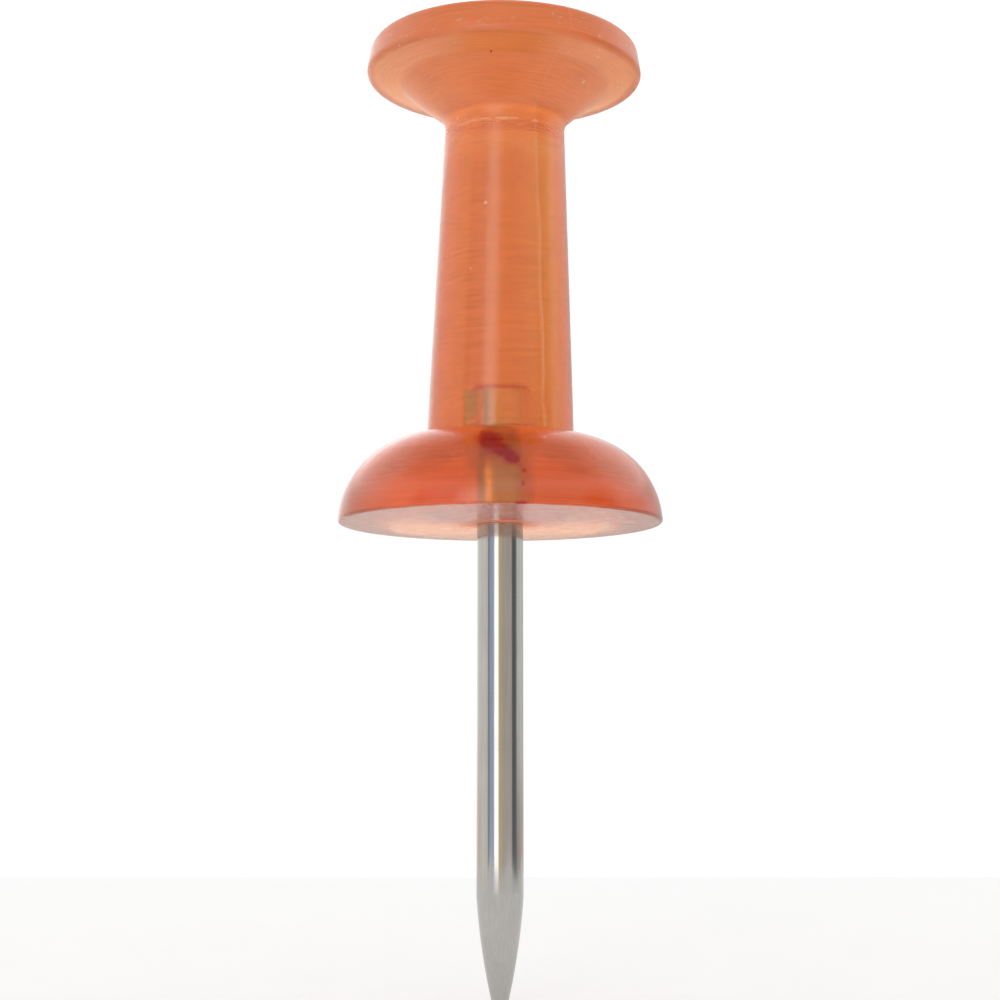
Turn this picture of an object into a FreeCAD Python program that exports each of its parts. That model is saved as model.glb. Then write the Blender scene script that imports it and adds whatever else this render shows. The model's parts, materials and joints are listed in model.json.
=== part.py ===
import FreeCAD, Part

import os
from enum import IntEnum

import Sketcher

# Push pin: a moulded plastic handle on a steel pin.
#
# The handle is one moulding: a flat shoulder that stops at the board, a tapered
# barrel for the fingers and a disc for the thumb. The pin is one length of wire
# with a tapered point. Its upper end thins a little and has fine ring grooves, and
# the plastic was moulded round it, so the two never come apart.
#
# Frame: +Z up along the pin's axis. The origin is the centre of the shoulder's
# flat underside, where the pin leaves the handle. The point is at -Z and the
# thumb disc at +Z. All lengths are in millimetres.

# Driving dimensions: alias, value, what it is.
DRIVING_DIMENSIONS = (
    ("point_length", "12.7", "exposed pin, from the shoulder's underside to the tip"),
    ("wire_diameter", "1.25", "pin's plain shank"),
    ("taper_length", "2.85", "tapered end of the pin, tip included"),
    ("taper_curve_radius", "16.5", "long curve of the taper, seen from the side"),
    ("tip_radius", "0.24", "blunt round tip"),
    ("embedded_length", "3.6", "pin inside the handle"),
    ("upper_end_diameter", "1.21", "pin's upper end, which thins from the seat upwards"),
    ("end_chamfer", "0.1", "cut edge of the pin's upper end"),
    ("groove_start", "1.75", "underside of the shoulder to the middle of the lowest groove"),
    ("groove_pitch", "0.24", "middle of one groove to the middle of the next"),
    ("groove_count", "4", "fine ring grooves that hold the pin in the plastic"),
    ("groove_width", "0.2", "one groove, along the pin"),
    ("groove_depth", "0.05", "one groove, below the plain shank's surface"),
    ("cutter_overlap", "0.1", "how far the groove's cutting form stands out of the wire"),
    ("head_height", "13.4", "handle, from the shoulder's underside to the crown"),
    ("shoulder_diameter", "8.78", "widest part of the handle, at its underside"),
    ("shoulder_height", "2.35", "underside to where the barrel rises out of the dome"),
    ("dome_bulge", "0.645", "how far the dome's arc stands off its chord"),
    ("seat_edge_radius", "0.08", "rounding between the underside and the dome"),
    ("barrel_foot_diameter", "4.0", "barrel where it leaves the dome"),
    ("neck_diameter", "3.28", "barrel at its thin upper end"),
    ("neck_fillet_radius", "0.55", "hollow corner between the barrel and the flare"),
    ("flare_height", "1.01", "cone that widens from the neck to the disc's land"),
    ("land_width", "0.94", "flatter ring under the disc, from the flare to the rim"),
    ("land_rise", "0.2", "how much the land rises on its way out to the rim"),
    ("disc_diameter", "7.66", "thumb disc at the lower corner of its rim"),
    ("disc_thickness", "0.92", "rim's lower corner to the crown"),
    ("rim_draft", "0.16", "how far the rim leans in between its two corners"),
    ("rim_lip_radius", "0.19", "rounding of the rim's lower corner"),
    ("crown_edge_radius", "0.3", "rounding of the rim's upper corner"),
)

SHEET_LABEL = "Sizes"
OUTPUT_FOLDER = "parts"

# Heights and radii that several features share, as expressions of the sheet.
UNDER_RIM = "(Sizes.head_height - Sizes.disc_thickness)"
FLARE_TOP = f"({UNDER_RIM} - Sizes.land_rise)"
NECK_HEIGHT = f"({FLARE_TOP} - Sizes.flare_height)"
SHOULDER_RADIUS = "(Sizes.shoulder_diameter / 2)"
BARREL_FOOT_RADIUS = "(Sizes.barrel_foot_diameter / 2)"
NECK_RADIUS = "(Sizes.neck_diameter / 2)"
DISC_RADIUS = "(Sizes.disc_diameter / 2)"
CROWN_RADIUS = f"({DISC_RADIUS} - Sizes.rim_draft)"
LAND_INNER_RADIUS = f"({DISC_RADIUS} - Sizes.land_width)"
WIRE_RADIUS = "(Sizes.wire_diameter / 2)"
UPPER_END_RADIUS = "(Sizes.upper_end_diameter / 2)"
SHANK_END = "(Sizes.point_length - Sizes.taper_length)"


class Axis(IntEnum):
    """The two axes that every sketch has, as constraints number them."""

    HORIZONTAL = -1
    VERTICAL = -2


class Vertex(IntEnum):
    """The point of a sketch edge that a constraint takes hold of."""

    START = 1
    END = 2
    CENTRE = 3


# The sketch's origin is the starting point of its horizontal axis.
ORIGIN = (Axis.HORIZONTAL, Vertex.START)


def make_sheet(doc):
    """Write the driving dimensions into a spreadsheet, one aliased cell each."""
    sheet = doc.addObject("Spreadsheet::Sheet", SHEET_LABEL)
    sheet.Label = SHEET_LABEL
    for row, (alias, value, meaning) in enumerate(DRIVING_DIMENSIONS, start=1):
        sheet.set(f"A{row}", alias)
        sheet.set(f"B{row}", value)
        sheet.set(f"C{row}", meaning)
        sheet.setAlias(f"B{row}", alias)
    doc.recompute()
    return sheet


def origin_feature(body, role):
    """Return the body's own origin plane or axis that has this role."""
    for feature in body.Origin.OriginFeatures:
        if feature.Role == role:
            return feature
    raise RuntimeError(f"{body.Label} has no {role}")


def half_section_sketch(body, name):
    """Add a sketch on the body's XZ plane: across is the radius, up is Z."""
    sketch = body.newObject("Sketcher::SketchObject", name)
    sketch.AttachmentSupport = [(origin_feature(body, "XZ_Plane"), "")]
    sketch.MapMode = "FlatFace"
    return sketch


def value_of(doc, expression):
    """Work out an expression of the sheet, as a plain number."""
    return float(doc.getObject(SHEET_LABEL).evalExpression(expression))


def bind(sketch, constraint, name, expression):
    """Add a driving constraint and bind it to an expression of the sheet."""
    index = sketch.addConstraint(constraint)
    sketch.renameConstraint(index, name)
    sketch.setExpression(f"Constraints.{name}", expression)


def hold_corner(sketch, edge, end, name, radius, height):
    """Fix one corner of a half section at a radius and a height.

    Either may be None, which puts the corner on the axis or on the seat
    plane. A height that starts with a minus sign lies below the seat plane.
    """
    if radius is None:
        sketch.addConstraint(Sketcher.Constraint("PointOnObject", edge, end, Axis.VERTICAL))
    else:
        size = value_of(sketch.Document, radius)
        across = Sketcher.Constraint("DistanceX", *ORIGIN, edge, end, size)
        bind(sketch, across, f"{name}_radius", radius)
    if height is None:
        sketch.addConstraint(Sketcher.Constraint("PointOnObject", edge, end, Axis.HORIZONTAL))
    elif height.startswith("-"):
        size = value_of(sketch.Document, height[1:])
        down = Sketcher.Constraint("DistanceY", edge, end, *ORIGIN, size)
        bind(sketch, down, f"{name}_depth", height[1:])
    else:
        size = value_of(sketch.Document, height)
        up = Sketcher.Constraint("DistanceY", *ORIGIN, edge, end, size)
        bind(sketch, up, f"{name}_height", height)


def corner_point(doc, radius, height):
    """Return a corner's place in the sketch plane, from its two expressions."""
    across = value_of(doc, radius) if radius else 0.0
    up = value_of(doc, height) if height else 0.0
    return FreeCAD.Vector(across, up, 0)


def arc_radius(chord_squared, bulge):
    """Return the expression of an arc's radius, from its chord and its bulge."""
    return f"({chord_squared} / (8 * {bulge}) + {bulge} / 2)"


def arc_through(start, end, radius):
    """Return the arc from start to end that bulges to the right of its way."""
    chord = end - start
    middle = (start + end) / 2
    outward = FreeCAD.Vector(chord.y, -chord.x, 0).normalize()
    reach = (radius**2 - (chord.Length / 2) ** 2) ** 0.5
    top = middle + outward * (radius - reach)
    return Part.Arc(start, top, end)


def add_outline(sketch, corners, curves):
    """Draw a closed half section through its corners, and hold every corner.

    corners: (name, radius expression, height expression), anticlockwise.
    curves: a corner's name to the radius expression of the arc that leaves
    it, which bulges out of the outline. All other edges are straight.
    """
    doc = sketch.Document
    points = [corner_point(doc, radius, height) for _, radius, height in corners]
    edges = []
    for number, (name, _, _) in enumerate(corners):
        start = points[number]
        end = points[(number + 1) % len(points)]
        if name in curves:
            edge = arc_through(start, end, value_of(doc, curves[name]))
        else:
            edge = Part.LineSegment(start, end)
        edges.append(sketch.addGeometry(edge, False))
    for number, edge in enumerate(edges):
        following = edges[(number + 1) % len(edges)]
        meeting = Sketcher.Constraint("Coincident", edge, Vertex.END, following, Vertex.START)
        sketch.addConstraint(meeting)
    for edge, (name, radius, height) in zip(edges, corners):
        hold_corner(sketch, edge, Vertex.START, name, radius, height)
        if name in curves:
            size = value_of(doc, curves[name])
            bind(sketch, Sketcher.Constraint("Radius", edge, size), f"{name}_curve", curves[name])


def revolve(body, sketch, name, kind="PartDesign::Revolution"):
    """Turn a half section a full turn about the sketch's vertical axis."""
    feature = body.newObject(kind, name)
    feature.Profile = sketch
    feature.ReferenceAxis = (sketch, ["V_Axis"])
    feature.Angle = 360.0
    sketch.Visibility = False
    sketch.Document.recompute()
    return feature


def ring_edge(feature, radius, height):
    """Name the circular edge of a feature that has this radius and height."""
    doc = feature.Document
    wanted_radius = value_of(doc, radius)
    wanted_height = value_of(doc, height) if height else 0.0
    misses = {}
    for number, edge in enumerate(feature.Shape.Edges, start=1):
        # The pole of a round tip is an edge with no curve.
        if edge.Degenerated or not isinstance(edge.Curve, Part.Circle) or not edge.Closed:
            continue
        radius_miss = abs(edge.Curve.Radius - wanted_radius)
        height_miss = abs(edge.Curve.Center.z - wanted_height)
        misses[f"Edge{number}"] = radius_miss + height_miss
    return min(misses, key=misses.get)


def round_ring(body, base, name, radius, height, rounding):
    """Round one circular edge of the body, at a radius bound to the sheet."""
    fillet = body.newObject("PartDesign::Fillet", name)
    fillet.Base = (base, [ring_edge(base, radius, height)])
    fillet.setExpression("Radius", rounding)
    body.Document.recompute()
    return fillet


def make_steel_pin(doc):
    """Build the pin: round tip, long taper, plain shank and grooved, thinning upper end."""
    body = doc.addObject("PartDesign::Body", "SteelPin")
    body.Label = "steel_pin"
    section = half_section_sketch(body, "PinSection")
    add_pin_outline(section)
    wire = revolve(body, section, "PinWire")
    chamfer = body.newObject("PartDesign::Chamfer", "CutEnd")
    chamfer.Base = (wire, [ring_edge(wire, UPPER_END_RADIUS, "Sizes.embedded_length")])
    chamfer.setExpression("Size", "Sizes.end_chamfer")
    doc.recompute()
    add_ring_grooves(body)
    return body


def add_pin_outline(sketch):
    """Draw the pin's half section. The tip's arc runs smoothly into the taper."""
    doc = sketch.Document
    tip_radius = value_of(doc, "Sizes.tip_radius")
    tip_height = -value_of(doc, "Sizes.point_length")
    shank = corner_point(doc, WIRE_RADIUS, f"-{SHANK_END}")
    seat = corner_point(doc, WIRE_RADIUS, None)
    upper_end = corner_point(doc, UPPER_END_RADIUS, "Sizes.embedded_length")
    axis_end = FreeCAD.Vector(0, upper_end.y, 0)
    tip = FreeCAD.Vector(0, tip_height, 0)
    tip_centre = FreeCAD.Vector(0, tip_height + tip_radius, 0)
    # The tangent point lies a little below the level of the tip's centre.
    lean = FreeCAD.Vector(0.97, -0.24, 0).normalize()
    tangent_point = tip_centre + lean * tip_radius
    halfway = FreeCAD.Vector(0.71, -0.71, 0).normalize()

    tip_arc = sketch.addGeometry(Part.Arc(tip, tip_centre + halfway * tip_radius, tangent_point), False)
    curve_radius = value_of(doc, "Sizes.taper_curve_radius")
    taper = sketch.addGeometry(arc_through(tangent_point, shank, curve_radius), False)
    side = sketch.addGeometry(Part.LineSegment(shank, seat), False)
    hidden_side = sketch.addGeometry(Part.LineSegment(seat, upper_end), False)
    end_face = sketch.addGeometry(Part.LineSegment(upper_end, axis_end), False)
    axis = sketch.addGeometry(Part.LineSegment(axis_end, tip), False)

    sketch.addConstraint(Sketcher.Constraint("Tangent", tip_arc, Vertex.END, taper, Vertex.START))
    sketch.addConstraint(Sketcher.Constraint("Coincident", taper, Vertex.END, side, Vertex.START))
    sketch.addConstraint(Sketcher.Constraint("Coincident", side, Vertex.END, hidden_side, Vertex.START))
    sketch.addConstraint(Sketcher.Constraint("Coincident", hidden_side, Vertex.END, end_face, Vertex.START))
    sketch.addConstraint(Sketcher.Constraint("Coincident", end_face, Vertex.END, axis, Vertex.START))
    sketch.addConstraint(Sketcher.Constraint("Coincident", axis, Vertex.END, tip_arc, Vertex.START))
    sketch.addConstraint(Sketcher.Constraint("PointOnObject", tip_arc, Vertex.CENTRE, Axis.VERTICAL))
    hold_corner(sketch, tip_arc, Vertex.START, "tip", None, "-Sizes.point_length")
    hold_corner(sketch, side, Vertex.START, "shank_end", WIRE_RADIUS, f"-{SHANK_END}")
    hold_corner(sketch, hidden_side, Vertex.START, "seat", WIRE_RADIUS, None)
    hold_corner(sketch, hidden_side, Vertex.END, "upper_end", UPPER_END_RADIUS, "Sizes.embedded_length")
    hold_corner(sketch, axis, Vertex.START, "upper_centre", None, "Sizes.embedded_length")
    bind(sketch, Sketcher.Constraint("Radius", tip_arc, tip_radius), "tip_round", "Sizes.tip_radius")
    curve = Sketcher.Constraint("Radius", taper, curve_radius)
    bind(sketch, curve, "taper_curve", "Sizes.taper_curve_radius")


def add_ring_grooves(body):
    """Cut the lowest ring groove, and repeat it up the embedded end."""
    doc = body.Document
    sketch = half_section_sketch(body, "GrooveSection")
    clear_radius = f"({WIRE_RADIUS} + Sizes.cutter_overlap)"
    low = "(Sizes.groove_start - Sizes.groove_width / 2)"
    high = "(Sizes.groove_start + Sizes.groove_width / 2)"
    corners = (
        ("mouth_low", WIRE_RADIUS, low),
        ("clear_low", clear_radius, low),
        ("clear_high", clear_radius, high),
        ("mouth_high", WIRE_RADIUS, high),
    )
    floor_curve = arc_radius("Sizes.groove_width^2", "Sizes.groove_depth")
    add_outline(sketch, corners, {"mouth_high": floor_curve})
    groove = revolve(body, sketch, "RingGroove", "PartDesign::Groove")
    pattern = body.newObject("PartDesign::LinearPattern", "RingGrooves")
    pattern.Originals = [groove]
    pattern.Direction = (origin_feature(body, "Z_Axis"), [""])
    pattern.setExpression("Length", "Sizes.groove_pitch * (Sizes.groove_count - 1)")
    pattern.setExpression("Occurrences", "Sizes.groove_count")
    body.Tip = pattern
    doc.recompute()


def make_handle_blank(doc):
    """Build the moulding as it would be without the pin: all of its outside."""
    body = doc.addObject("PartDesign::Body", "HandleBlank")
    body.Label = "handle_blank"
    section = half_section_sketch(body, "HandleSection")
    chord_squared = f"(({SHOULDER_RADIUS} - {BARREL_FOOT_RADIUS})^2 + Sizes.shoulder_height^2)"
    dome_radius = arc_radius(chord_squared, "Sizes.dome_bulge")
    corners = (
        ("seat_centre", None, None),
        ("seat_edge", SHOULDER_RADIUS, None),
        ("barrel_foot", BARREL_FOOT_RADIUS, "Sizes.shoulder_height"),
        ("neck", NECK_RADIUS, NECK_HEIGHT),
        ("land_inner", LAND_INNER_RADIUS, FLARE_TOP),
        ("rim_lower", DISC_RADIUS, UNDER_RIM),
        ("rim_upper", CROWN_RADIUS, "Sizes.head_height"),
        ("crown_centre", None, "Sizes.head_height"),
    )
    add_outline(section, corners, {"seat_edge": dome_radius})
    solid = revolve(body, section, "HandleForm")
    roundings = (
        ("NeckFillet", NECK_RADIUS, NECK_HEIGHT, "Sizes.neck_fillet_radius"),
        ("RimLip", DISC_RADIUS, UNDER_RIM, "Sizes.rim_lip_radius"),
        ("CrownEdge", CROWN_RADIUS, "Sizes.head_height", "Sizes.crown_edge_radius"),
        ("SeatEdge", SHOULDER_RADIUS, None, "Sizes.seat_edge_radius"),
    )
    for name, radius, height, rounding in roundings:
        solid = round_ring(body, solid, name, radius, height, rounding)
    return body


def make_handle(doc, blank, pin):
    """Take the pin's own shape out of the blank, so the plastic hugs the pin."""
    handle = doc.addObject("Part::Cut", "Handle")
    handle.Label = "handle"
    handle.Base = blank
    handle.Tool = pin
    handle.Refine = True
    doc.recompute()
    return handle


def check(doc, pieces):
    """Stop with a message if any feature failed or any piece isn't one solid."""
    failed = [item.Label for item in doc.Objects if {"Invalid", "Error"} & set(item.State)]
    if failed:
        raise RuntimeError(f"failed features: {failed}")
    for piece in pieces:
        shape = piece.Shape
        if shape.isNull() or not shape.isValid() or len(shape.Solids) != 1:
            raise RuntimeError(f"{piece.Label} isn't one valid solid")


def main():
    """Build both pieces and write one STEP file for each."""
    doc = FreeCAD.newDocument("PushPin")
    make_sheet(doc)
    pin = make_steel_pin(doc)
    blank = make_handle_blank(doc)
    handle = make_handle(doc, blank, pin)
    doc.recompute()
    pieces = (handle, pin)
    check(doc, pieces + (blank,))
    os.makedirs(OUTPUT_FOLDER, exist_ok=True)
    for piece in pieces:
        piece.Shape.exportStep(os.path.join(OUTPUT_FOLDER, f"{piece.Label}.step"))
        box = piece.Shape.optimalBoundingBox(False, False)
        print(
            f"{piece.Label}: {piece.Shape.Volume:.4f} mm3, "
            f"across {box.XLength:.3f} mm, Z {box.ZMin:.3f} to {box.ZMax:.3f} mm"
        )
    print(f"bore volume: {blank.Shape.Volume - handle.Shape.Volume:.4f} mm3")


main()
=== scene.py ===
"""A translucent orange push pin with a steel point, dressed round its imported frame.

One Geometry Nodes tree turns the handle and the pin from half sections of the
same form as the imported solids, and another adds the small bubbles. The plastic
is a clear, dyed solid that light goes through. Its colour comes from a tint of
the surface, and a little from the depth of plastic.
"""

import json
import logging
import math
from dataclasses import asdict, dataclass, field
from enum import Enum

import bpy
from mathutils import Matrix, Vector


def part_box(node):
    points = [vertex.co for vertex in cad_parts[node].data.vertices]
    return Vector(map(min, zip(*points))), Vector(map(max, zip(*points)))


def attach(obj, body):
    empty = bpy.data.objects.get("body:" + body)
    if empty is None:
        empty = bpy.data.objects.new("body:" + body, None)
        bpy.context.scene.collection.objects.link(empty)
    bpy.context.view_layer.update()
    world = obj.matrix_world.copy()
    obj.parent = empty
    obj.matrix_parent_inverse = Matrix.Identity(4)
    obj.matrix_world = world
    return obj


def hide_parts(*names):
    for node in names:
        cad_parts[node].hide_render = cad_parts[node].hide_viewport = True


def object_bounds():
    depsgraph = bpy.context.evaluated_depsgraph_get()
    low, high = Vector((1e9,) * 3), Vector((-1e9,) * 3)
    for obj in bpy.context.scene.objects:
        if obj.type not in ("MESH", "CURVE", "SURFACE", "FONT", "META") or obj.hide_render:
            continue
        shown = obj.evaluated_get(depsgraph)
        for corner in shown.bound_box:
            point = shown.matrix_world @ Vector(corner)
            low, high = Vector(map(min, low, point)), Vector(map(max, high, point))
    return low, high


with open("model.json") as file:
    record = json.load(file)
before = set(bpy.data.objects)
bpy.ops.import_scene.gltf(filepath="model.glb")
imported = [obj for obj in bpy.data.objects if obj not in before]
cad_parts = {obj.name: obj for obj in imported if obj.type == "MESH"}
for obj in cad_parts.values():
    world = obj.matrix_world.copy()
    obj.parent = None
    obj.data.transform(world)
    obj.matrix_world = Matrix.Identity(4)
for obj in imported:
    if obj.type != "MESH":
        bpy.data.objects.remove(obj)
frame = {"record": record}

LOG = logging.getLogger("push_pin")
MM = 0.001
TURN = 2.0 * math.pi
SEAM = "seam"
SHARP_ANGLE = math.radians(28.0)
CAD_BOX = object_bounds()

Colour = tuple[float, float, float, float]
Place = tuple[float, float, float]
Point = tuple[float, float]
Socket = bpy.types.NodeSocket
Tones = tuple[tuple[float, Place | Colour], ...]

# The soft panels by the camera: angle from the front, right positive, and tone.
FRONT_PANELS: Tones = (
    (-64.0, (1.02, 0.96, 0.88)),
    (-59.0, (0.26, 0.31, 0.42)),
    (-50.0, (0.54, 0.64, 0.84)),
    (-30.0, (0.62, 0.72, 0.94)),
    (-26.0, (2.4, 2.4, 2.4)),
    (-10.0, (2.4, 2.35, 2.2)),
    (-5.0, (0.90, 0.70, 0.40)),
    (8.0, (0.84, 0.70, 0.50)),
    (14.0, (0.70, 0.64, 0.56)),
    (58.0, (0.70, 0.64, 0.57)),
    (64.0, (0.17, 0.17, 0.20)),
    (84.0, (0.21, 0.22, 0.25)),
)


class Slot(str, Enum):
    """The record's material slots."""

    PLASTIC = "orange_plastic"
    STEEL = "plated_steel"


class Node(str, Enum):
    """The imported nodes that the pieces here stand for."""

    HANDLE = "handle"
    PIN = "steel_pin"


class Tree:
    """A node tree with short calls to add and link nodes."""

    def __init__(self, tree: bpy.types.NodeTree) -> None:
        """Wrap the tree that nodes are added to."""
        self.tree = tree

    def add(self, kind: str, **settings: object) -> bpy.types.Node:
        """Add a node and set its properties.

        Args:
            kind: the node's type name.
            settings: property names and their values.

        Returns:
            The new node.
        """
        node = self.tree.nodes.new(kind)
        for name, value in settings.items():
            setattr(node, name, value)
        return node

    def join(self, source: Socket, target: Socket) -> None:
        """Link an output to an input."""
        self.tree.links.new(source, target)

    def feed(self, target: Socket, value: object) -> None:
        """Give an input a value, or a link if the value is another socket.

        Args:
            target: the input socket.
            value: a number, a tuple or an output socket.
        """
        if isinstance(value, Socket):
            self.join(value, target)
        else:
            target.default_value = value

    def make(self, kind: str, inputs: dict[str, object], **settings: object) -> bpy.types.Node:
        """Add a node and feed its inputs by name.

        Args:
            kind: the node's type name.
            inputs: input names and their values, as numbers or sockets.
            settings: property names and their values.

        Returns:
            The new node.
        """
        node = self.add(kind, **settings)
        for name, value in inputs.items():
            self.feed(node.inputs[name], value)
        return node

    def math(self, operation: str, *values: object) -> Socket:
        """Add a Math node.

        Args:
            operation: what it works out, such as MAXIMUM.
            values: its inputs in order, as numbers or sockets.

        Returns:
            The result's socket.
        """
        node = self.add("ShaderNodeMath", operation=operation)
        for socket, value in zip(node.inputs, values):
            self.feed(socket, value)
        return node.outputs[0]

    def plus(self, first: object, second: object) -> Socket:
        """Add two numbers."""
        return self.math("ADD", first, second)

    def minus(self, first: object, second: object) -> Socket:
        """Take the second number from the first."""
        return self.math("SUBTRACT", first, second)

    def times(self, first: object, second: object) -> Socket:
        """Multiply two numbers."""
        return self.math("MULTIPLY", first, second)

    def over(self, first: object, second: object) -> Socket:
        """Divide the first number by the second."""
        return self.math("DIVIDE", first, second)

    def scaled(self, vector: Socket, factor: Socket) -> Socket:
        """Multiply a vector or a colour by a number."""
        inputs = {"Vector": vector, "Scale": factor}
        return self.make("ShaderNodeVectorMath", inputs, operation="SCALE").outputs[0]

    def vector(self, operation: str, *values: object) -> Socket:
        """Add a Vector Math node.

        Args:
            operation: what it works out, such as ADD or LENGTH.
            values: its inputs in order, as tuples or sockets.

        Returns:
            The result's socket.
        """
        node = self.add("ShaderNodeVectorMath", operation=operation)
        for socket, value in zip(node.inputs, values):
            self.feed(socket, value)
        scalar = operation in {"LENGTH", "DOT_PRODUCT", "DISTANCE"}
        return node.outputs["Value"] if scalar else node.outputs["Vector"]

    def combine(self, x: object, y: object, z: object) -> Socket:
        """Make a vector of three numbers."""
        return self.make("ShaderNodeCombineXYZ", {"X": x, "Y": y, "Z": z}).outputs[0]

    def separate(self, vector: Socket) -> tuple[Socket, ...]:
        """Split a vector into its three numbers."""
        return tuple(self.make("ShaderNodeSeparateXYZ", {"Vector": vector}).outputs)

    def remap(self, value: object, source: Point, target: Point, smooth: bool = False) -> Socket:
        """Map one range on another, and hold the result within it.

        Args:
            value: the number to map.
            source: the range that it comes from.
            target: the range that it goes to.
            smooth: whether the ends are eased.

        Returns:
            The result's socket.
        """
        kind = "SMOOTHSTEP" if smooth else "LINEAR"
        names = ("Value", "From Min", "From Max", "To Min", "To Max")
        inputs = dict(zip(names, (value, *source, *target)))
        return self.make("ShaderNodeMapRange", inputs, interpolation_type=kind, clamp=True).outputs["Result"]

    def noise(self, vector: object, scale: float, detail: float = 2.0, rough: float = 0.5) -> Socket:
        """Add a noise pattern and return its 0 to 1 value."""
        inputs = {"Vector": vector, "Scale": scale, "Detail": detail, "Roughness": rough}
        return self.make("ShaderNodeTexNoise", inputs).outputs[0]

    def ramp(self, value: object, stops: Tones) -> Socket:
        """Turn a 0 to 1 value into a colour.

        Args:
            value: the value's socket.
            stops: places along the ramp and their colours.

        Returns:
            The colour's socket.
        """
        node = self.add("ShaderNodeValToRGB")
        elements = node.color_ramp.elements
        while len(elements) < len(stops):
            elements.new(0.5)
        for element, (place, colour) in zip(elements, stops):
            element.position = place
            element.color = (*colour[:3], 1.0)
        self.feed(node.inputs[0], value)
        return node.outputs["Color"]

    def blend(self, share: object, first: object, second: object) -> Socket:
        """Mix two colours.

        Args:
            share: how much of the second colour there is, from 0 to 1.
            first: a colour or its socket.
            second: a colour or its socket.

        Returns:
            The mixed colour's socket.
        """
        node = self.add("ShaderNodeMix", data_type="RGBA")
        self.feed(node.inputs["Factor"], share)
        names = ("A_Color", "B_Color")
        for name, colour in zip(names, (first, second)):
            self.feed(next(socket for socket in node.inputs if socket.identifier == name), colour)
        return next(socket for socket in node.outputs if socket.identifier == "Result_Color")

    def polar(self, place: Socket) -> tuple[Socket, ...]:
        """Work out where a place lies about the Z axis.

        Args:
            place: the place.

        Returns:
            The sockets of its radius, its angle and its height.
        """
        x, y, z = self.separate(place)
        radius = self.vector("LENGTH", self.combine(x, y, 0.0))
        return radius, self.math("ARCTAN2", y, x), z


class ShapeTree(Tree):
    """A Geometry Nodes tree with named number inputs and two materials."""

    def __init__(self, name: str, numbers: dict[str, float]) -> None:
        """Start the tree.

        Args:
            name: the tree's name.
            numbers: input names and their starting values. A whole number
                makes an integer input.
        """
        group = bpy.data.node_groups.new(name, "GeometryNodeTree")
        face = group.interface
        face.new_socket("Geometry", in_out="INPUT", socket_type="NodeSocketGeometry")
        for label, value in numbers.items():
            kind = "NodeSocketInt" if isinstance(value, int) else "NodeSocketFloat"
            face.new_socket(label, in_out="INPUT", socket_type=kind).default_value = value
        for label in ("Material", "Bore Material"):
            face.new_socket(label, in_out="INPUT", socket_type="NodeSocketMaterial")
        face.new_socket("Geometry", in_out="OUTPUT", socket_type="NodeSocketGeometry")
        super().__init__(group)
        self.inputs = self.add("NodeGroupInput").outputs
        self.result = self.add("NodeGroupOutput").inputs["Geometry"]

    def then(self, kind: str, source: Socket, inputs: dict[str, object]) -> Socket:
        """Pass a shape through one more node.

        Args:
            kind: the node's type name.
            source: the shape so far, for the node's first input.
            inputs: the names of other inputs and their values.

        Returns:
            The socket of the changed shape.
        """
        node = self.add(kind)
        self.join(source, node.inputs[0])
        for name, value in inputs.items():
            self.feed(node.inputs[name], value)
        return node.outputs[0]

    def dress(self, shape: Socket) -> Socket:
        """Smooth a shape, make it real and give it its material.

        Args:
            shape: the shape's socket.

        Returns:
            The socket of the dressed shape.
        """
        shape = self.then("GeometryNodeSetShadeSmooth", shape, {})
        shape = self.then("GeometryNodeRealizeInstances", shape, {})
        return self.then("GeometryNodeSetMaterial", shape, {"Material": self.inputs["Material"]})


def grow(piece: bpy.types.Object, tree: ShapeTree, values: dict[str, object]) -> None:
    """Run a Geometry Nodes tree on a piece and keep the result as its mesh.

    Args:
        piece: the object that holds the starting geometry.
        tree: the tree to run.
        values: input names and the values for this piece.
    """
    modifier = piece.modifiers.new("grow", "NODES")
    modifier.node_group = tree.tree
    for item in tree.tree.interface.items_tree:
        if item.in_out == "INPUT" and item.name in values:
            modifier[item.identifier] = values[item.name]
    bpy.context.view_layer.update()
    evaluated = piece.evaluated_get(bpy.context.evaluated_depsgraph_get())
    mesh = bpy.data.meshes.new_from_object(evaluated)
    piece.modifiers.clear()
    piece.data = mesh


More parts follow.
